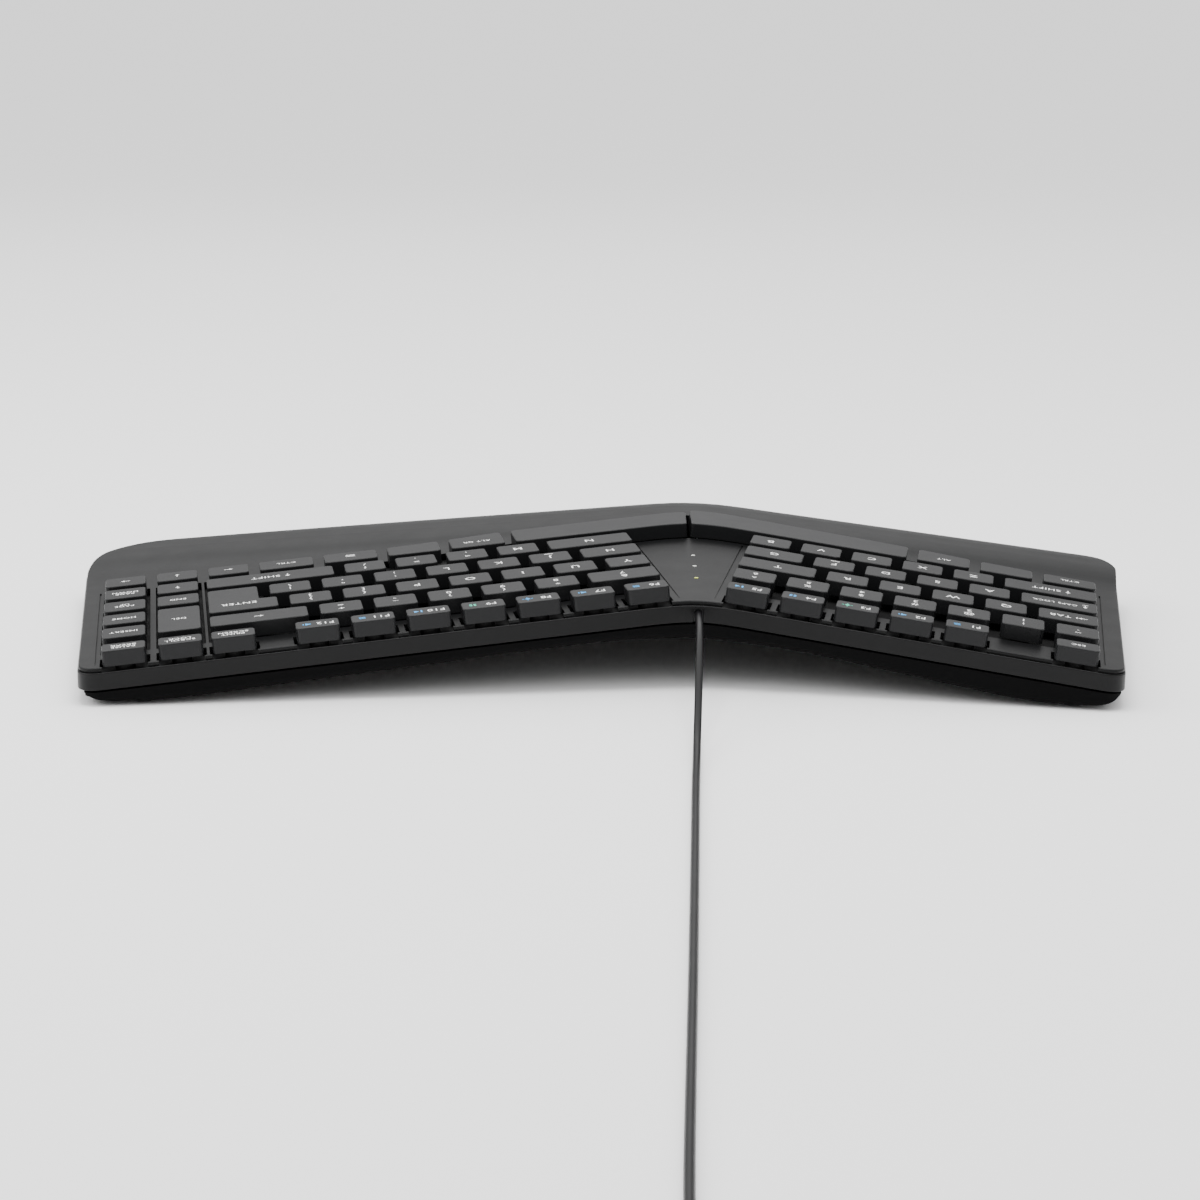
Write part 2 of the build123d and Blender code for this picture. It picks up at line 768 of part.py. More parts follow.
with BuildPart() as hull_inside:
    for side in sides:
        with BuildSketch(halves[side].offset(-boss_meeting)):
            with Locations(*screw_points(side)):
                Circle(boss_radius)
        extrude(amount=-tall)
        with BuildSketch(halves[side].offset(-membrane_bottom - sheet_gap)):
            for place in rib_places[side]:
                edges = (place * unit - rib_thickness / 2, place * unit + rib_thickness / 2)
                add(polygon(on_half(side, box_corners(*edges, *rib_range))))
        extrude(amount=-tall)
    with BuildSketch(Plane(origin=(ridge_x, ridge_y - board_rear - board_depth / 2, 0))):
        with GridLocations(board_width - 2 * board_post_inset, board_depth - 2 * board_post_inset, 2, 2):
            Circle(board_post_radius)
    extrude(amount=board_height)
    add(hull_form.part, mode=Mode.INTERSECT)
with BuildPart() as hull_tall_inside:
    for side in sides:
        with BuildSketch(halves[side].offset(-boss_meeting)):
            with Locations(*screw_points(side)):
                Circle(boss_radius)
        extrude(amount=-hull_top + boss_meeting - hull_floor)
        with BuildSketch(halves[side].offset(-membrane_bottom - sheet_gap)):
            for place in rib_places[side]:
                edges = (place * unit - rib_thickness / 2, place * unit + rib_thickness / 2)
                add(polygon(on_half(side, box_corners(*edges, *rib_range))))
        extrude(amount=membrane_bottom + sheet_gap - hull_top - hull_floor)
    add(hull_cavity.part, mode=Mode.INTERSECT)
with BuildPart() as base_hull:
    add(hull_form.part)
    add(hull_lip.part)
    add(hull_cavity.part, mode=Mode.SUBTRACT)
    add(hull_inside.part)
    add(hull_tall_inside.part)
    for side in sides:
        with BuildSketch(halves[side].offset(-screw_seat)):
            with Locations(*screw_points(side)):
                Circle(screw_head_radius + hole_clearance)
        extrude(amount=-tall, mode=Mode.SUBTRACT)
        with BuildSketch(halves[side].offset(-screw_seat)):
            with Locations(*screw_points(side)):
                Circle(screw_radius + hole_clearance)
        extrude(amount=screw_seat, mode=Mode.SUBTRACT)
        for place in foot_places[side]:
            with BuildSketch(Plane(origin=(ridge_x + place[0], ridge_y + place[1], 0))):
                SlotOverall(foot_length, foot_width, rotation=90 + side * splay)
            extrude(amount=foot_height + foot_recess, mode=Mode.SUBTRACT)
base_hull.part.label = "base_hull"
export_step(base_hull.part, "parts/base_hull.step")

# Rubber feet, in the recesses of the hull
with BuildPart() as rubber_feet:
    for side in sides:
        for place in foot_places[side]:
            with BuildSketch(Plane(origin=(ridge_x + place[0], ridge_y + place[1], 0))):
                SlotOverall(
                    foot_length - 2 * foot_clearance,
                    foot_width - 2 * foot_clearance,
                    rotation=90 + side * splay,
                )
            extrude(amount=foot_height + foot_recess)
    fillet(rubber_feet.edges().group_by(Axis.Z)[0], foot_recess / 2)
rubber_feet.part.label = "rubber_feet"
export_step(rubber_feet.part, "parts/rubber_feet.step")

# Case screws, from below through the hull's bosses into the cover's
with BuildPart() as case_screws:
    for side in sides:
        with BuildSketch(halves[side].offset(-screw_seat)):
            with Locations(*screw_points(side)):
                Circle(screw_head_radius)
        extrude(amount=-screw_head_height)
        with BuildSketch(halves[side].offset(-screw_seat)):
            with Locations(*screw_points(side)):
                Circle(screw_radius)
        extrude(amount=screw_length)
        for turn in (0, 90):
            with BuildSketch(halves[side].offset(-screw_seat - screw_head_height)):
                with Locations(*screw_points(side)):
                    Rectangle(1.3 * screw_head_radius, screw_slot_width, rotation=turn)
            extrude(amount=screw_slot_depth, mode=Mode.SUBTRACT)
case_screws.part.label = "case_screws"
export_step(case_screws.part, "parts/case_screws.step")


def sheet(side, top, bottom, holes):
    """A sheet under one half, following the fold, with holes for stems and bosses."""
    half = halves[side]
    inner_rear = middle_out(side, sheet_rear, sheet_middle)
    inner_front = middle_out(side, sheet_front, sheet_middle)
    outer = 2 * body_side[side]
    corners = [
        (inner_rear, sheet_rear),
        (outer, sheet_rear),
        (outer, sheet_front),
        (inner_front, sheet_front),
    ]
    with BuildPart() as part:
        add(slab(band_wall + sheet_clearance, top, bottom))
        with BuildSketch(half.offset(-2 * bottom)):
            add(polygon(on_half(side, corners)))
        extrude(amount=2 * bottom, mode=Mode.INTERSECT)
        with BuildSketch(half.offset(-2 * bottom)):
            with Locations(*screw_points(side)):
                Circle(boss_radius + joint_clearance)
            if holes > 0:
                with Locations(*stem_points(side)):
                    Circle(holes)
        extrude(amount=2 * bottom, mode=Mode.SUBTRACT)
    return part.part


def stem_points(side, first_only=False):
    """Places of the stems on a half, or of those alone that stand over a dome."""
    found = []
    for _, key_side, _, stems, _ in keys:
        if key_side == side:
            found += on_half(side, stems[:1] if first_only else stems)
    return found


# Key plates with the sleeves, the sheets of domes, the membranes
sleeve_radius = stem_radius + sleeve_clearance
names = {1: "right", -1: "left"}
for side in sides:
    with BuildPart() as key_plate:
        add(sheet(side, plate_top, plate_bottom, sleeve_radius))
        with BuildSketch(halves[side].offset(-plate_bottom)):
            with Locations(*stem_points(side)):
                Circle(sleeve_radius + sleeve_wall)
                Circle(sleeve_radius, mode=Mode.SUBTRACT)
        extrude(amount=plate_bottom - sleeve_top)
    key_plate.part.label = f"key_plate_{names[side]}"
    export_step(key_plate.part, f"parts/key_plate_{names[side]}.step")

    dome_rise = dome_top - stem_end - dome_clearance
    with BuildPart(halves[side].offset(-dome_top)) as domes:
        with Locations(*stem_points(side, first_only=True)):
            Cone(dome_foot_radius, dome_head_radius, dome_rise, align=(Align.CENTER, Align.CENTER, Align.MIN))
    with BuildPart(halves[side].offset(-dome_bottom)) as dome_hollows:
        with Locations(*stem_points(side, first_only=True)):
            Cone(
                dome_foot_radius - dome_wall,
                dome_head_radius - dome_wall,
                dome_rise + dome_sheet_thickness - dome_wall,
                align=(Align.CENTER, Align.CENTER, Align.MIN),
            )
    with BuildPart() as dome_sheet:
        add(sheet(side, dome_top, dome_bottom, 0))
        add(domes.part)
        add(dome_hollows.part, mode=Mode.SUBTRACT)
    dome_sheet.part.label = f"dome_sheet_{names[side]}"
    export_step(dome_sheet.part, f"parts/dome_sheet_{names[side]}.step")

    membrane = sheet(side, membrane_top, membrane_bottom, 0)
    membrane.label = f"membrane_{names[side]}"
    export_step(membrane, f"parts/membrane_{names[side]}.step")

# Controller board on its posts under the middle
with BuildPart() as controller_board:
    with BuildSketch(Plane(origin=(ridge_x, ridge_y - board_rear - board_depth / 2, board_height))):
        Rectangle(board_width, board_depth)
    extrude(amount=board_thickness)
    board_middle_y = ridge_y - board_rear - board_depth / 2
    with BuildSketch(Plane(origin=(ridge_x, board_middle_y, board_height + board_thickness))):
        Rectangle(chip_size, chip_size)
    extrude(amount=chip_height)
controller_board.part.label = "controller_board"
export_step(controller_board.part, "parts/controller_board.step")

# Cord grommet: a block in the slot, a flange inside the hull's lip, a seat for the cord
grommet_outer_y = ridge_y + rear_face - grommet_recess
grommet_inner_y = ridge_y + rear_face - hull_cavity_inset
exit_plane = Plane(
    origin=(ridge_x + slot_side, grommet_outer_y, cord_exit_height),
    x_dir=(1, 0, 0),
    z_dir=(0, -1, 0),
)
with BuildPart() as cord_grommet:
    with BuildSketch(exit_plane):
        with Locations((0, slot_top - cord_exit_height - grommet_clearance)):
            Rectangle(slot_width - 2 * grommet_clearance, grommet_height, align=(Align.CENTER, Align.MAX))
    extrude(amount=grommet_outer_y - grommet_inner_y + grommet_clearance)
    with BuildSketch(exit_plane.offset(grommet_outer_y - grommet_inner_y + grommet_clearance)):
        with Locations((0, slot_top - cord_exit_height - grommet_clearance)):
            Rectangle(slot_width + 2 * grommet_flange, grommet_height, align=(Align.CENTER, Align.MAX))
    extrude(amount=grommet_flange_thickness)
    with BuildSketch(exit_plane):
        Circle(cord_radius + hole_clearance / 2)
    extrude(amount=cord_seat, mode=Mode.SUBTRACT)
cord_grommet.part.label = "cord_grommet"
export_step(cord_grommet.part, "parts/cord_grommet.step")

# Cord: down from the slot to the table, then straight away from the user to the coil
coil_step = 2 * cord_radius + coil_gap
coil_outer_radius = coil_middle_radius + coil_rings * coil_step / 2
coil_inner_radius = coil_outer_radius - coil_rings * coil_step
coil_low = cord_radius + tie_thickness + tie_clearance
coil_high = coil_low + coil_step
cord_end = (15.6, coil_distance - 2 * cord_radius, coil_low)
cord_route = [
    (slot_side, rear_face - grommet_recess - cord_seat, cord_exit_height),
    (slot_side, 6.0, cord_exit_height),
    (0.0, 20.0, 24.8),
    (0.7, 37.0, 18.4),
    (1.4, 54.0, 10.0),
    (2.2, 71.0, 4.0),
    (3.0, 90.0, 1.7),
    (4.0, 112.0, cord_radius),
    (5.3, 146.0, cord_radius),
    (7.2, 196.0, cord_radius),
    (9.3, 250.0, cord_radius),
    (11.5, 304.0, cord_radius),
    (13.6, 354.0, cord_radius),
    (15.0, 390.0, 1.5),
    (cord_end[0], 414.0, coil_low),
    cord_end,
]


def bend_radii(points):
    """Bend radius at each inner point, so that a bend takes up most of its shorter run."""
    radii = []
    for before, here, after in zip(points, points[1:], points[2:]):
        arriving = Vector(*here) - Vector(*before)
        leaving = Vector(*after) - Vector(*here)
        turn = radians(arriving.get_angle(leaving))
        radii.append(0.45 * min(arriving.length, leaving.length) / tan(turn / 2))
    return radii


cord_points = [(x + ridge_x, y + ridge_y, z) for x, y, z in cord_route]
cord_bends = bend_radii(cord_points)
print("smallest bend of the cord", round(min(cord_bends), 1))
with BuildPart() as cord:
    with BuildLine() as cord_path:
        FilletPolyline(*cord_points, radius=cord_bends)
    with BuildSketch(Plane(origin=cord_points[0], x_dir=(1, 0, 0), z_dir=(0, 1, 0))):
        Circle(cord_radius)
    sweep()
cord_length = cord_path.wire().length
cord_share = cord.part.volume / cord_length / pi / cord_radius**2
print("cord length", round(cord_length, 1), "volume share", round(cord_share, 4))
cord.part.label = "cord"
export_step(cord.part, "parts/cord.step")

# Coil: two layers of turns, spiralling in, climbing in the innermost half turn, spiralling out
coil_x = ridge_x + cord_end[0] - coil_outer_radius
coil_y = ridge_y + coil_distance
coil_end = (coil_x - plug_tail, coil_y + coil_outer_radius, coil_high)
with BuildPart() as cord_coil:
    with BuildLine() as coil_path:
        entry_x = coil_x + coil_outer_radius
        entry = Line((entry_x, coil_y - 2 * cord_radius, coil_low), (entry_x, coil_y, coil_low))
        here = entry @ 1
        direction = entry % 1
        radius = coil_outer_radius
        heading = 1
        for _ in range(2 * coil_rings):
            arc = TangentArc(here, (here.X - heading * 2 * radius, coil_y, coil_low), tangent=direction)
            here = arc @ 1
            direction = arc % 1
            radius -= coil_step / 2
            heading = -heading
        middle = (here.X - radius, coil_y + heading * radius, (coil_low + coil_high) / 2)
        first_climb = TangentArc(here, middle, tangent=direction)
        half_way = (here.X - 2 * radius, coil_y, coil_high)
        second_climb = TangentArc(first_climb @ 1, half_way, tangent=first_climb % 1)
        here = second_climb @ 1
        direction = Vector(0, -1, 0)
        heading = -heading
        for _ in range(2 * coil_rings - 1):
            radius += coil_step / 2
            arc = TangentArc(here, (here.X - heading * 2 * radius, coil_y, coil_high), tangent=direction)
            here = arc @ 1
            direction = arc % 1
            heading = -heading
        leaving = TangentArc(here, (coil_x, coil_y + coil_outer_radius, coil_high), tangent=direction)
        Line(leaving @ 1, coil_end)
    with BuildSketch(Plane(origin=entry @ 0, x_dir=(1, 0, 0), z_dir=(0, 1, 0))):
        Circle(cord_radius)
    sweep()
coil_length = coil_path.wire().length
coil_share = cord_coil.part.volume / coil_length / pi / cord_radius**2
print("coil length", round(coil_length, 1), "volume share", round(coil_share, 4))
cord_coil.part.label = "cord_coil"
export_step(cord_coil.part, "parts/cord_coil.step")

# Least distance between turns, from places along the coil that are not neighbours on it
sample_count = 1600
samples = [coil_path.wire().position_at(step / sample_count) for step in range(sample_count + 1)]
neighbours = ceil(5 * cord_radius * 2 / (coil_length / sample_count))
nearest = min(
    (samples[first] - samples[second]).length
    for first in range(0, sample_count, 2)
    for second in range(first + neighbours, sample_count + 1)
)
print("least gap between turns", round(nearest - 2 * cord_radius, 3))

# Tie: a band round the bundle of turns, on the side away from the arriving cord
tie_inner = coil_inner_radius - cord_radius - tie_slack
tie_outer = coil_outer_radius + cord_radius + tie_clearance
tie_height = coil_high + cord_radius + tie_clearance + tie_thickness
tie_middle = ((tie_inner + tie_outer) / 2, tie_height / 2)
with BuildPart() as cord_tie:
    with BuildSketch(Plane(origin=(coil_x, coil_y, 0), x_dir=(-1, 0, 0), z_dir=(0, 1, 0))):
        with Locations(tie_middle):
            RectangleRounded(tie_outer - tie_inner + 2 * tie_thickness, tie_height, 1.2)
            RectangleRounded(tie_outer - tie_inner, tie_height - 2 * tie_thickness, 0.8, mode=Mode.SUBTRACT)
    extrude(amount=tie_width / 2, both=True)
cord_tie.part.label = "cord_tie"
export_step(cord_tie.part, "parts/cord_tie.step")

# Plug at the end of the coil, lying on the table
grip_plane = Plane(origin=coil_end, x_dir=(0, 1, 0), z_dir=(-1, 0, 0))
with BuildPart() as usb_plug_grip:
    with BuildSketch(grip_plane):
        RectangleRounded(grip_width, 2 * coil_high, grip_radius)
    extrude(amount=grip_length)
    with BuildSketch(grip_plane.offset(grip_length - shell_seat)):
        Rectangle(shell_width, shell_height)
    extrude(amount=shell_seat, mode=Mode.SUBTRACT)
usb_plug_grip.part.label = "usb_plug_grip"
export_step(usb_plug_grip.part, "parts/usb_plug_grip.step")

with BuildPart() as usb_plug_shell:
    with BuildSketch(grip_plane.offset(grip_length - shell_seat)):
        Rectangle(shell_width, shell_height)
        Rectangle(shell_width - 2 * shell_wall, shell_height - 2 * shell_wall, mode=Mode.SUBTRACT)
    extrude(amount=shell_length + shell_seat)
usb_plug_shell.part.label = "usb_plug_shell"
export_step(usb_plug_shell.part, "parts/usb_plug_shell.step")

with BuildPart() as usb_contact_tongue:
    with BuildSketch(grip_plane.offset(grip_length - shell_seat)):
        with Locations((0, shell_wall - shell_height / 2)):
            Rectangle(shell_width - 2 * shell_wall, tongue_thickness, align=(Align.CENTER, Align.MIN))
    extrude(amount=shell_length + shell_seat - tongue_recess)
usb_contact_tongue.part.label = "usb_contact_tongue"
export_step(usb_contact_tongue.part, "parts/usb_contact_tongue.step")

print("ridge point at", round(ridge_x, 3), round(ridge_y, 3), ridge_height)
print("cover", len(top_cover.part.solids()), "band", len(mid_band.part.solids()))
print("hull", len(base_hull.part.solids()))
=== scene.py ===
import json
import math

import bpy
from mathutils import Matrix, Vector


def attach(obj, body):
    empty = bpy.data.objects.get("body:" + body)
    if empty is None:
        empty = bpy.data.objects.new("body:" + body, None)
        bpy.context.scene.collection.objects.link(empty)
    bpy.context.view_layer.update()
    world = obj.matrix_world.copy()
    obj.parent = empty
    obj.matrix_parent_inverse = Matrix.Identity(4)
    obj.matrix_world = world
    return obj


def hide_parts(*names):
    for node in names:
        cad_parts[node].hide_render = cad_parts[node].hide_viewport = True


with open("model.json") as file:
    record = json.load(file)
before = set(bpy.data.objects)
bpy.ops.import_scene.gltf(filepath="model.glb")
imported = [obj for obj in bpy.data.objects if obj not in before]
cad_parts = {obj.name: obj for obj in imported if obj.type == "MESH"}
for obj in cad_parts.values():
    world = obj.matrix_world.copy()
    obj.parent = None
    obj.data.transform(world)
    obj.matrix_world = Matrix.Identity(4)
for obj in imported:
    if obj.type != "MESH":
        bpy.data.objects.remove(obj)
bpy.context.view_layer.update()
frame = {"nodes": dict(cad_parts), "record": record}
nodes = frame["nodes"]
slots = {entry["node"]: entry["material_slot"] for entry in frame["record"]["subparts"]}

MM = 0.001

# Halves, in millimetres, as in the part's source: rows of keys run outward from the ridge point,
# turned by the splay and tipped down by the side's tent
RIGHT = 1
LEFT = -1
UNIT = 19.05
SPLAY = math.radians(9.23)
TENT = {RIGHT: math.radians(5.33), LEFT: math.radians(7.15)}
RIDGE = Vector((-32.052, 62.81, 37.5))


def outward(side):
    """Direction along the rows of a half, away from the middle."""
    tent = TENT[side]
    across = side * math.cos(SPLAY) * math.cos(tent)
    return Vector((across, math.sin(SPLAY) * math.cos(tent), -math.sin(tent)))


def towards_user(side):
    """Direction across the rows of a half, towards the palm rest."""
    return Vector((side * math.sin(SPLAY), -math.cos(SPLAY), 0))


def half_matrix(side, out, front, lift):
    """Places a flat drawing on the key tops of a half; out, front and lift are in millimetres."""
    x_dir = outward(side) * side
    y_dir = -towards_user(side)
    z_dir = x_dir.cross(y_dir)
    origin = RIDGE + outward(side) * out + towards_user(side) * front + z_dir * lift
    return Matrix(
        (
            (x_dir.x, y_dir.x, z_dir.x, origin.x),
            (x_dir.y, y_dir.y, z_dir.y, origin.y),
            (x_dir.z, y_dir.z, z_dir.z, origin.z),
            (0, 0, 0, 1),
        )
    )


# Camera, fitted to the rows and columns of keys in the photograph
PHOTO_SIDE = 1200
FOCAL = 2688.9  # in the photograph's pixels
SENSOR_WIDTH = 36
ROLL = math.radians(0.794)
EYE = Vector((36.703, 901.115, 211.440)) + RIDGE
SIGHT = Vector((-0.00308, -0.97217, -0.23425))
NEAR = 0.02  # in metres, as is the far clip
FAR = 80


def photo_camera():
    """Camera at the place, angle and angle of view of the photograph's."""
    forward = SIGHT.normalized()
    level = forward.cross(Vector((0, 0, 1))).normalized()
    above = level.cross(forward)
    right = level * math.cos(ROLL) + above * math.sin(ROLL)
    up = above * math.cos(ROLL) - level * math.sin(ROLL)
    data = bpy.data.cameras.new("photo_camera")
    data.sensor_width = SENSOR_WIDTH
    data.lens = FOCAL / PHOTO_SIDE * SENSOR_WIDTH
    data.clip_start = NEAR
    data.clip_end = FAR
    camera = bpy.data.objects.new("photo_camera", data)
    bpy.context.scene.collection.objects.link(camera)
    camera.matrix_world = Matrix(
        (
            (right.x, up.x, -forward.x, EYE.x * MM),
            (right.y, up.y, -forward.y, EYE.y * MM),
            (right.z, up.z, -forward.z, EYE.z * MM),
            (0, 0, 0, 1),
        )
    )
    return camera


bpy.context.scene.camera = photo_camera()

# Materials; their sizes are in metres
GRAIN_SIZE = 0.0004
COARSE_GRAIN = 0.0006
GRAIN_DEPTH = 0.00005
GRAIN_DETAIL = 3
MOTTLING_SCALE = 90
MOTTLING_DETAIL = 4
paints = {}


def add_grain(tree, shader, place, strength, size):
    """Gives a surface the fine bumps of a textured mould."""
    noise = tree.nodes.new("ShaderNodeTexNoise")
    noise.inputs["Scale"].default_value = 1 / size
    noise.inputs["Detail"].default_value = GRAIN_DETAIL
    bump = tree.nodes.new("ShaderNodeBump")
    bump.inputs["Strength"].default_value = strength
    bump.inputs["Distance"].default_value = GRAIN_DEPTH
    tree.links.new(place.outputs["Object"], noise.inputs["Vector"])
    tree.links.new(noise.outputs["Fac"], bump.inputs["Height"])
    tree.links.new(bump.outputs["Normal"], shader.inputs["Normal"])


def add_mottling(tree, shader, place, roughness, spread):
    """Lets the roughness vary in soft patches."""
    cloud = tree.nodes.new("ShaderNodeTexNoise")
    cloud.inputs["Scale"].default_value = MOTTLING_SCALE
    cloud.inputs["Detail"].default_value = MOTTLING_DETAIL
    ramp = tree.nodes.new("ShaderNodeMapRange")
    ramp.inputs["To Min"].default_value = roughness - spread
    ramp.inputs["To Max"].default_value = roughness + spread
    tree.links.new(place.outputs["Object"], cloud.inputs["Vector"])
    tree.links.new(cloud.outputs["Fac"], ramp.inputs["Value"])
    tree.links.new(ramp.outputs["Result"], shader.inputs["Roughness"])


def paint(
    name, colour, roughness, specular=0.5, metallic=0.0, grain=0.0, grain_size=GRAIN_SIZE, mottling=0.0
):
    """Makes a plastic, rubber, metal or ink, and keeps it under its name."""
    made = bpy.data.materials.new(name)
    made.use_nodes = True
    tree = made.node_tree
    shader = tree.nodes["Principled BSDF"]
    shader.inputs["Base Color"].default_value = (*colour, 1)
    shader.inputs["Roughness"].default_value = roughness
    shader.inputs["Metallic"].default_value = metallic
    shader.inputs["Specular IOR Level"].default_value = specular
    place = tree.nodes.new("ShaderNodeTexCoord")
    if grain > 0:
        add_grain(tree, shader, place, grain, grain_size)
    if mottling > 0:
        add_mottling(tree, shader, place, roughness, mottling)
    paints[name] = made


paint("key_plastic", (0.0090, 0.0092, 0.0098), 0.38, specular=0.18, grain=0.2, mottling=0.04)
paint("cover_plastic", (0.0045, 0.0046, 0.0048), 0.40, specular=0.13, grain=0.3, mottling=0.05)
paint("band_plastic", (0.0036, 0.0036, 0.0038), 0.40, specular=0.17, grain=0.2, mottling=0.05)
paint("hull_plastic", (0.0009, 0.0009, 0.0010), 0.65, specular=0.07, grain=0.3, grain_size=COARSE_GRAIN)
paint("plate_plastic", (0.003, 0.003, 0.003), 0.7, specular=0.2)
paint("dome_rubber", (0.5, 0.52, 0.52), 0.5)
paint("membrane_film", (0.4, 0.46, 0.42), 0.2)
paint("board", (0.02, 0.14, 0.06), 0.35)
paint("lens", (0.72, 0.74, 0.66), 0.15)
paint("foot_rubber", (0.008, 0.008, 0.008), 0.8, grain=0.5)
paint("screw_steel", (0.55, 0.55, 0.57), 0.3, metallic=1.0)
paint("cord_jacket", (0.004, 0.004, 0.0044), 0.38, specular=0.2, grain=0.15, mottling=0.04)
paint("shell_steel", (0.42, 0.42, 0.44), 0.28, metallic=1.0)
paint("tongue_plastic", (0.02, 0.02, 0.022), 0.4)
paint("white_ink", (0.85, 0.85, 0.84), 0.5)
paint("blue_ink", (0.03, 0.33, 0.72), 0.5)
paint("green_ink", (0.03, 0.55, 0.36), 0.5)
paint("floor_paint", (0.92, 0.92, 0.92), 0.9, specular=0.1)

# Indicator lenses: the rear one is yellowish green and the others are clear
CLEAR_LENS = (0.72, 0.74, 0.70, 1)
GREEN_LENS = (0.62, 0.70, 0.12, 1)
LENS_REACH = 0.004  # in metres


def tint_rear_lens():
    """Colours the lens material by how far to the rear it is."""
    tree = paints["lens"].node_tree
    rear = max(vertex.co.y for vertex in nodes["indicator_lenses"].data.vertices)
    place = tree.nodes.new("ShaderNodeTexCoord")
    axes = tree.nodes.new("ShaderNodeSeparateXYZ")
    at_rear = tree.nodes.new("ShaderNodeMath")
    at_rear.operation = "GREATER_THAN"
    at_rear.inputs[1].default_value = rear - LENS_REACH
    tint = tree.nodes.new("ShaderNodeMix")
    tint.data_type = "RGBA"
    tint.inputs["A"].default_value = CLEAR_LENS
    tint.inputs["B"].default_value = GREEN_LENS
    tree.links.new(place.outputs["Object"], axes.inputs["Vector"])
    tree.links.new(axes.outputs["Y"], at_rear.inputs[0])
    tree.links.new(at_rear.outputs["Value"], tint.inputs["Factor"])
    tree.links.new(tint.outputs["Result"], tree.nodes["Principled BSDF"].inputs["Base Color"])


tint_rear_lens()
for name, solid in nodes.items():
    solid.data.materials.clear()
    solid.data.materials.append(paints[slots[name]])


def mesh_object(name, vertices, faces, surface):
    """Object made of the given faces, in the named material."""
    data = bpy.data.meshes.new(name)
    data.from_pydata(vertices, [], faces)
    data.materials.append(paints[surface])
    made = bpy.data.objects.new(name, data)
    bpy.context.scene.collection.objects.link(made)
    return made


# Legends: flat marks with a little body, in millimetres; a drawing is a pair of vertices and faces
INK_HEIGHT = 0.02
INK_LIFT = 0.005
BOLDNESS = 0.006
LINE_SPACE = 0.85
WIDE_SPACING = 1.12
CURVE_STEPS = 4
LETTER_SIZE = 4.8
SIGN_SIZE = 3.9
WORD_SIZE = 2.8
WIDE_WORD_SIZE = 3.9
TWO_LINE_SIZE = 2.7
PAIR_SHIFT = 2.4
HOMING_SHIFT = -4.6
FUNCTION_NUMBER_PLACE = (-2.8, 0.2)
FUNCTION_SIGN_PLACE = (3.6, 0.2)
GREEN_SIGNED = (3, 9)
DISC_SIDES = 16
drawn = {}


def lettering(text, size):
    """Drawing of a word, centred."""
    if (text, size) not in drawn:
        curve = bpy.data.curves.new("word", "FONT")
        curve.body = text
        curve.size = size
        curve.align_x = "CENTER"
        curve.align_y = "CENTER"
        curve.space_line = LINE_SPACE
        curve.resolution_u = CURVE_STEPS
        curve.offset = size * BOLDNESS
        curve.space_character = WIDE_SPACING if len(text) > 2 else 1.0
        curve.extrude = INK_HEIGHT / 2
        flat = bpy.data.objects.new("word", curve)
        bpy.context.scene.collection.objects.link(flat)
        data = flat.to_mesh()
        vertices = [vertex.co.copy() for vertex in data.vertices]
        faces = [tuple(polygon.vertices) for polygon in data.polygons]
        flat.to_mesh_clear()
        bpy.data.objects.remove(flat)
        drawn[(text, size)] = (vertices, faces)
    return drawn[(text, size)]


def shape(points):
    """Drawing of a filled outline."""
    count = len(points)
    vertices = [Vector((x, y, z)) for z in (-INK_HEIGHT / 2, INK_HEIGHT / 2) for x, y in points]
    faces = [tuple(reversed(range(count))), tuple(range(count, 2 * count))]
    faces += [(k, (k + 1) % count, count + (k + 1) % count, count + k) for k in range(count)]
    return vertices, faces


def bar(width, height, x=0.0, y=0.0):
    """Drawing of an upright rectangle round a point."""
    left = x - width / 2
    right = x + width / 2
    low = y - height / 2
    high = y + height / 2
    return shape([(left, low), (right, low), (right, high), (left, high)])


def disc(radius):
    """Drawing of a round spot."""
    angles = [k * math.tau / DISC_SIDES for k in range(DISC_SIDES)]
    return shape([(radius * math.cos(angle), radius * math.sin(angle)) for angle in angles])


def arrow(turns, size=1.0):
    """Drawing of an arrow that points right, turned by quarter turns."""
    outline = [(-1.6, 0.2), (-1.6, -0.2), (0.4, -0.2), (0.4, -0.9), (1.7, 0), (0.4, 0.9), (0.4, 0.2)]
    turn = Matrix.Rotation(turns * math.pi / 2, 2)
    return shape([tuple(turn @ Vector((x * size, y * size))) for x, y in outline])


# Small signs of the function keys, in turn
HORN = [(-1.4, -0.5), (-0.6, -0.5), (0.4, -1.2), (0.4, 1.2), (-0.6, 0.5), (-1.4, 0.5)]
SIGNS = (
    [bar(0.6, 2.4, -1.3), shape([(-0.5, 0), (1.2, 1.1), (1.2, -1.1)])],
    [bar(2.2, 0.4, y=level) for level in (0.8, 0, -0.8)],
    [shape(HORN), bar(0.4, 1.4, 1.1)],
    [disc(0.8), bar(0.35, 0.8, 0, 1.5), bar(0.35, 0.8, 0, -1.5), bar(0.8, 0.35, 1.5), bar(0.8, 0.35, -1.5)],
    [bar(0.9, 0.9, x, y) for y in (0.7, -0.7) for x in (-0.7, 0.7)],
)


# Labels: lists of marks
def mark(drawing, place=(0.0, 0.0), ink="white"):
    """A drawing with its place on the key top and its ink."""
    return drawing, place, ink


def letter(text):
    """A letter, and the short bar under it on the two keys where the forefingers rest."""
    bars = [mark(bar(3.2, 0.5), (0, HOMING_SHIFT))] if text in ("F", "J") else []
    return [mark(lettering(text, LETTER_SIZE))] + bars


def pair(signs):
    """Two signs, one above the other."""
    shifts = (PAIR_SHIFT, -PAIR_SHIFT)
    return [mark(lettering(sign, SIGN_SIZE), (0, shift)) for sign, shift in zip(signs, shifts)]


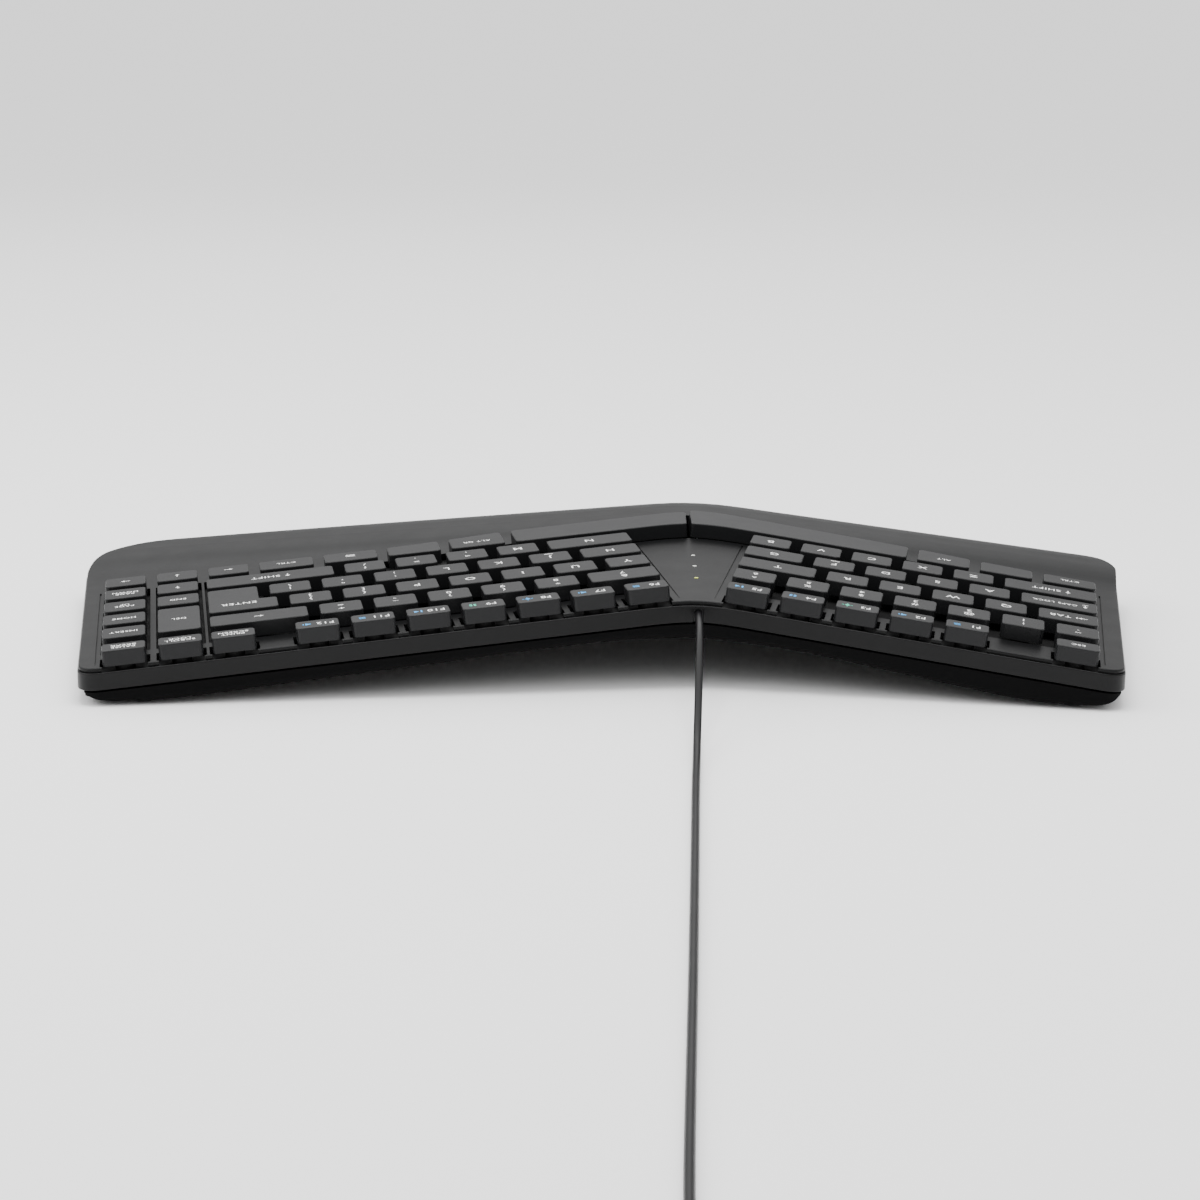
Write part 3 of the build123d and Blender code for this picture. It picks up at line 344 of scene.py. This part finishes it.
def function_key(number):
    """A function key's number, and a small coloured sign to the right of it."""
    ink = "green" if number in GREEN_SIGNED else "blue"
    signs = [mark(part, FUNCTION_SIGN_PLACE, ink) for part in SIGNS[number % len(SIGNS)]]
    return [mark(lettering(f"F{number}", SIGN_SIZE), FUNCTION_NUMBER_PLACE)] + signs


def word(text, size=WORD_SIZE, shift=0.0, beside=(), beside_shift=0.0):
    """A word, and the parts of an arrow beside it where the key has one."""
    return [mark(lettering(text, size), (shift, 0))] + [mark(part, (beside_shift, 0)) for part in beside]


SHIFT = word("SHIFT", WIDE_WORD_SIZE, 1.6, [arrow(1, 1.1)], -6.4)
CAPS_LOCK = word("CAPS LOCK", WORD_SIZE, 1.6, [arrow(1, 1.1), bar(2.2, 0.4, 0, -2.4)], -9.4)
TAB = word("TAB", WIDE_WORD_SIZE, 2.8, [arrow(0), bar(0.4, 2.0, 2.2)], -5.2)
MENU = [mark(bar(3.4, 0.35, 0, level)) for level in (1.2, 0.4, -0.4, -1.2)]
TO_RIGHT = [mark(arrow(0))]
UPWARD = [mark(arrow(1))]
TO_LEFT = [mark(arrow(2))]
DOWNWARD = [mark(arrow(3))]
BLANK = []

prints = {}


def print_key(node, side, column, row, label):
    """Adds a label to a key node, at a place counted in key units from the ridge point."""
    for drawing, (dx, dy), ink in label:
        seat = half_matrix(side, column * UNIT, row * UNIT, INK_LIFT + INK_HEIGHT / 2)
        prints.setdefault(node, []).append((drawing, seat @ Matrix.Translation((dx, dy, 0)), ink))


def print_row(side, row, start, *keys):
    """Labels the keys of a row, outward from its start; each is a node, a width and a label."""
    for node, width, label in keys:
        print_key(node, side, start + width / 2, row, label)
        start += width


def bank(node, labels):
    """Keys of one node and one unit's width, side by side."""
    return [(node, 1.0, label) for label in labels]


# Rows and columns, in key units from the ridge point
FUNCTION_ROW = 0.465
NUMBER_ROW = 1.5
UPPER_ROW = 2.5
HOME_ROW = 3.5
LOWER_ROW = 4.5
ARROW_ROW = 5.5
BOTTOM_ROW = 5.52
DELETE_ROW = 2.0
ENTER_ROW = 2.62
INNER_CELL = 0.3775
BOTTOM_START = {RIGHT: 2.76, LEFT: 3.63}
ENTER_COLUMN = 8.2
INNER_NAVIGATION = 9.32
OUTER_NAVIGATION = 10.32

print_row(
    RIGHT,
    FUNCTION_ROW,
    INNER_CELL,
    *bank("function_keys_right", [function_key(number) for number in range(6, 13)]),
    ("gap", 0.5, BLANK),
    ("key_print", 1.0, word("PRINT\nSCREEN", TWO_LINE_SIZE)),
)
print_row(
    RIGHT,
    NUMBER_ROW,
    INNER_CELL,
    ("key_seven", 1.5, pair("&7")),
    *bank("number_keys_right", [pair(signs) for signs in ("*8", "(9", ")0", "_-", "+=")]),
    ("key_backspace", 2.0, TO_LEFT),
)
print_row(
    RIGHT,
    UPPER_ROW,
    INNER_CELL,
    *bank("letter_keys_upper_right", [letter(text) for text in "YUIOP"]),
    *bank("letter_keys_upper_right", [pair(signs) for signs in ("{[", "}]")]),
)
print_row(
    RIGHT,
    HOME_ROW,
    INNER_CELL,
    ("key_h", 4 / 3, letter("H")),
    *bank("letter_keys_home_right", [letter(text) for text in "JKL"]),
    *bank("letter_keys_home_right", [pair(signs) for signs in (":;", "\"'", "|\\")]),
)
print_row(
    RIGHT,
    LOWER_ROW,
    INNER_CELL,
    ("key_n", 11 / 6, letter("N")),
    ("letter_keys_lower_right", 1.0, letter("M")),
    *bank("letter_keys_lower_right", [pair(signs) for signs in ("<,", ">.", "?/")]),
    ("key_shift_right", 8 / 3, SHIFT),
)
print_row(
    LEFT,
    FUNCTION_ROW,
    INNER_CELL,
    *bank("function_keys_left", [function_key(number) for number in (5, 4, 3, 2, 1)]),
    ("gap", 1.0, BLANK),
    ("key_escape", 1.0, word("ESC")),
)
print_row(
    LEFT,
    NUMBER_ROW,
    INNER_CELL,
    *bank("number_keys_left", [pair(signs) for signs in ("^6", "%5", "$4", "#3", "@2", "!1", "~`")]),
)
print_row(
    LEFT,
    UPPER_ROW,
    INNER_CELL,
    ("key_t", 5 / 3, letter("T")),
    *bank("letter_keys_upper_left", [letter(text) for text in "REWQ"]),
    ("key_tab", 4 / 3, TAB),
)
print_row(
    LEFT,
    HOME_ROW,
    INNER_CELL,
    ("key_g", 4 / 3, letter("G")),
    *bank("letter_keys_home_left", [letter(text) for text in "FDSA"]),
    ("key_caps_lock", 5 / 3, CAPS_LOCK),
)
print_row(
    LEFT,
    LOWER_ROW,
    INNER_CELL,
    *bank("letter_keys_lower_left", [letter(text) for text in "BVCXZ"]),
    ("key_shift_left", 2.0, SHIFT),
)
print_row(
    RIGHT,
    BOTTOM_ROW,
    BOTTOM_START[RIGHT],
    ("key_alt_right", 1.28, word("ALT GR")),
    ("key_function", 1.25, BLANK),
    ("key_menu", 1.26, MENU),
    ("key_control_right", 1.27, word("CTRL")),
    ("arrow_left", 1.0, TO_LEFT),
)
print_row(
    LEFT,
    BOTTOM_ROW,
    BOTTOM_START[LEFT],
    ("key_alt_left", 1.25, word("ALT")),
    ("key_system", 1.25, BLANK),
    ("key_control_left", 1.25, word("CTRL")),
)
for node, column, row, label in (
    ("navigation_keys_inner", INNER_NAVIGATION, FUNCTION_ROW, word("SCROLL\nLOCK", TWO_LINE_SIZE)),
    ("key_delete", INNER_NAVIGATION, DELETE_ROW, word("DEL")),
    ("navigation_keys_inner", INNER_NAVIGATION, HOME_ROW, word("END")),
    ("arrow_up", INNER_NAVIGATION, LOWER_ROW, UPWARD),
    ("arrow_down", INNER_NAVIGATION, ARROW_ROW, DOWNWARD),
    ("navigation_keys_outer", OUTER_NAVIGATION, FUNCTION_ROW, word("PAUSE\nBREAK", TWO_LINE_SIZE)),
    ("navigation_keys_outer", OUTER_NAVIGATION, NUMBER_ROW, word("INSERT")),
    ("navigation_keys_outer", OUTER_NAVIGATION, UPPER_ROW, word("HOME")),
    ("navigation_keys_outer", OUTER_NAVIGATION, HOME_ROW, word("PAGE\nUP", TWO_LINE_SIZE)),
    ("navigation_keys_outer", OUTER_NAVIGATION, LOWER_ROW, word("PAGE\nDOWN", TWO_LINE_SIZE)),
    ("arrow_right", OUTER_NAVIGATION, ARROW_ROW, TO_RIGHT),
    ("key_enter", ENTER_COLUMN, ENTER_ROW, word("ENTER", WIDE_WORD_SIZE)),
):
    print_key(node, RIGHT, column, row, label)

# The marks of one ink on one key node are one piece, which goes down with the key
for node, marks in prints.items():
    for ink in ("white", "blue", "green"):
        vertices = []
        faces = []
        for (points, polygons), seat, colour in marks:
            if colour != ink:
                continue
            base = len(vertices)
            vertices += [(seat @ point) * MM for point in points]
            faces += [tuple(base + k for k in polygon) for polygon in polygons]
        if vertices:
            legend = mesh_object(f"legend_{ink}_{node}", vertices, faces, f"{ink}_ink")
            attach(legend, node)

# Cord: the same route as in the part's source, then the coil's turns, as one smooth line
CORD_RADIUS = 1.3
CORD_END_X = 15.6
COIL_RINGS = 5
COIL_MIDDLE_RADIUS = 15.6
COIL_STEP = 3.05
COIL_OUTER_RADIUS = COIL_MIDDLE_RADIUS + COIL_RINGS * COIL_STEP / 2
COIL_LOW = 1.75
COIL_HIGH = COIL_LOW + COIL_STEP
COIL_DISTANCE = 436.5
COIL_X = RIDGE.x + CORD_END_X - COIL_OUTER_RADIUS
COIL_Y = RIDGE.y + COIL_DISTANCE
PLUG_TAIL = 22.0
POINTS_PER_HALF_TURN = 12
# The line touches the middles of its control polygon's sides, so the polygon is a little wider
SWELL = 1 / math.cos(math.pi / POINTS_PER_HALF_TURN / 2)
ROUTE = [
    (-0.3, -6.05, 26.6),
    (-0.3, 6.0, 26.6),
    (0.0, 20.0, 24.8),
    (0.7, 37.0, 18.4),
    (1.4, 54.0, 10.0),
    (2.2, 71.0, 4.0),
    (3.0, 90.0, 1.7),
    (4.0, 112.0, CORD_RADIUS),
    (5.3, 146.0, CORD_RADIUS),
    (7.2, 196.0, CORD_RADIUS),
    (9.3, 250.0, CORD_RADIUS),
    (11.5, 304.0, CORD_RADIUS),
    (13.6, 354.0, CORD_RADIUS),
    (15.0, 390.0, 1.5),
    (CORD_END_X, 414.0, COIL_LOW),
    (CORD_END_X, 433.9, COIL_LOW),
    (CORD_END_X, 436.4, COIL_LOW),
]


def half_turn(centre_x, radius, start, height, climb=0.0, share=1.0):
    """Control points of a half turn, anticlockwise from the start angle, or of a share of it."""
    turned = [(k + 0.5) / POINTS_PER_HALF_TURN for k in range(int(POINTS_PER_HALF_TURN * share))]
    reach = radius * SWELL
    return [
        Vector(
            (
                centre_x + reach * math.cos(start + math.pi * part),
                COIL_Y + reach * math.sin(start + math.pi * part),
                height + climb * part,
            )
        )
        for part in turned
    ]


def coil():
    """Control points of the coil: spiralling in, climbing in the innermost half turn, spiralling out."""
    radius = COIL_OUTER_RADIUS
    here = COIL_X + COIL_OUTER_RADIUS
    heading = 1
    found = []
    for _ in range(2 * COIL_RINGS):
        found += half_turn(here - heading * radius, radius, 0 if heading > 0 else math.pi, COIL_LOW)
        here -= heading * 2 * radius
        radius -= COIL_STEP / 2
        heading = -heading
    found += half_turn(here - radius, radius, 0, COIL_LOW, COIL_STEP)
    here -= 2 * radius
    for _ in range(2 * COIL_RINGS - 1):
        radius += COIL_STEP / 2
        heading = -heading
        found += half_turn(here - heading * radius, radius, 0 if heading > 0 else math.pi, COIL_HIGH)
        here -= heading * 2 * radius
    return found + half_turn(COIL_X, COIL_OUTER_RADIUS, 0, COIL_HIGH, share=0.5)


def cord_points():
    """Control points of the whole cord, from the grommet to the plug."""
    found = [Vector((x + RIDGE.x, y + RIDGE.y, z)) for x, y, z in ROUTE] + coil()
    tail = [Vector((COIL_X - run, COIL_Y + COIL_OUTER_RADIUS, COIL_HIGH)) for run in (2.0, 12.0, PLUG_TAIL)]
    return found + tail


points = cord_points()
line = bpy.data.curves.new("cord_line", "CURVE")
line.dimensions = "3D"
line.bevel_depth = CORD_RADIUS * MM
line.bevel_resolution = 6
line.use_fill_caps = True
spline = line.splines.new("NURBS")
spline.points.add(len(points) - 1)
for place, point in zip(spline.points, points):
    place.co = (*(point * MM), 1)
spline.order_u = 3
spline.use_endpoint_u = True
spline.resolution_u = 4
line.materials.append(paints["cord_jacket"])
cord = bpy.data.objects.new("cord_line", line)
bpy.context.scene.collection.objects.link(cord)
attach(cord, "case")
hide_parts("cord", "cord_coil")

# Floor, in metres
FLOOR_REACH = 40
FLOOR_HEIGHT = -0.0005
floor = mesh_object(
    "floor",
    [(x * FLOOR_REACH, y * FLOOR_REACH, FLOOR_HEIGHT) for x, y in ((-1, -1), (1, -1), (1, 1), (-1, 1))],
    [(0, 1, 2, 3)],
    "floor_paint",
)

# Sky: as grey as the floor at the horizon, darkest a little above it and brightest overhead
SKY_GREYS = ((0.0, 0.67), (0.03, 0.67), (0.09, 0.2), (1.0, 1.0))
SKY_STRENGTH = 2.2


def studio_sky():
    """World whose grey follows the height of the direction."""
    world = bpy.data.worlds.new("studio")
    world.use_nodes = True
    tree = world.node_tree
    place = tree.nodes.new("ShaderNodeTexCoord")
    axes = tree.nodes.new("ShaderNodeSeparateXYZ")
    greys = tree.nodes.new("ShaderNodeValToRGB")
    levels = greys.color_ramp.elements
    for height, _ in SKY_GREYS[1:-1]:
        levels.new(height)
    for level, (_, grey) in zip(levels, SKY_GREYS):
        level.color = (grey, grey, grey, 1)
    tree.links.new(place.outputs["Generated"], axes.inputs["Vector"])
    tree.links.new(axes.outputs["Z"], greys.inputs["Fac"])
    tree.links.new(greys.outputs["Color"], tree.nodes["Background"].inputs["Color"])
    tree.nodes["Background"].inputs["Strength"].default_value = SKY_STRENGTH
    return world


bpy.context.scene.world = studio_sky()


# Lamps, in metres
def lamp(name, place, aim, size, power):
    """Large soft lamp at a place, turned towards a point."""
    data = bpy.data.lights.new(name, "AREA")
    data.shape = "RECTANGLE"
    data.size = size[0]
    data.size_y = size[1]
    data.energy = power
    made = bpy.data.objects.new(name, data)
    bpy.context.scene.collection.objects.link(made)
    made.location = place
    made.rotation_euler = (Vector(aim) - Vector(place)).to_track_quat("-Z", "Y").to_euler()
    return made


lamps = [
    lamp("side_lamp", (1.1, 0.1, 0.75), (0.05, 0, 0), (0.9, 0.9), 9),
    lamp("top_lamp", (0, 0.1, 1.2), (0, 0.05, 0), (0.8, 0.35), 12),
    lamp("back_lamp", (0.3, -1.3, 1.0), (0, 0, 0), (1.6, 0.6), 4),
]
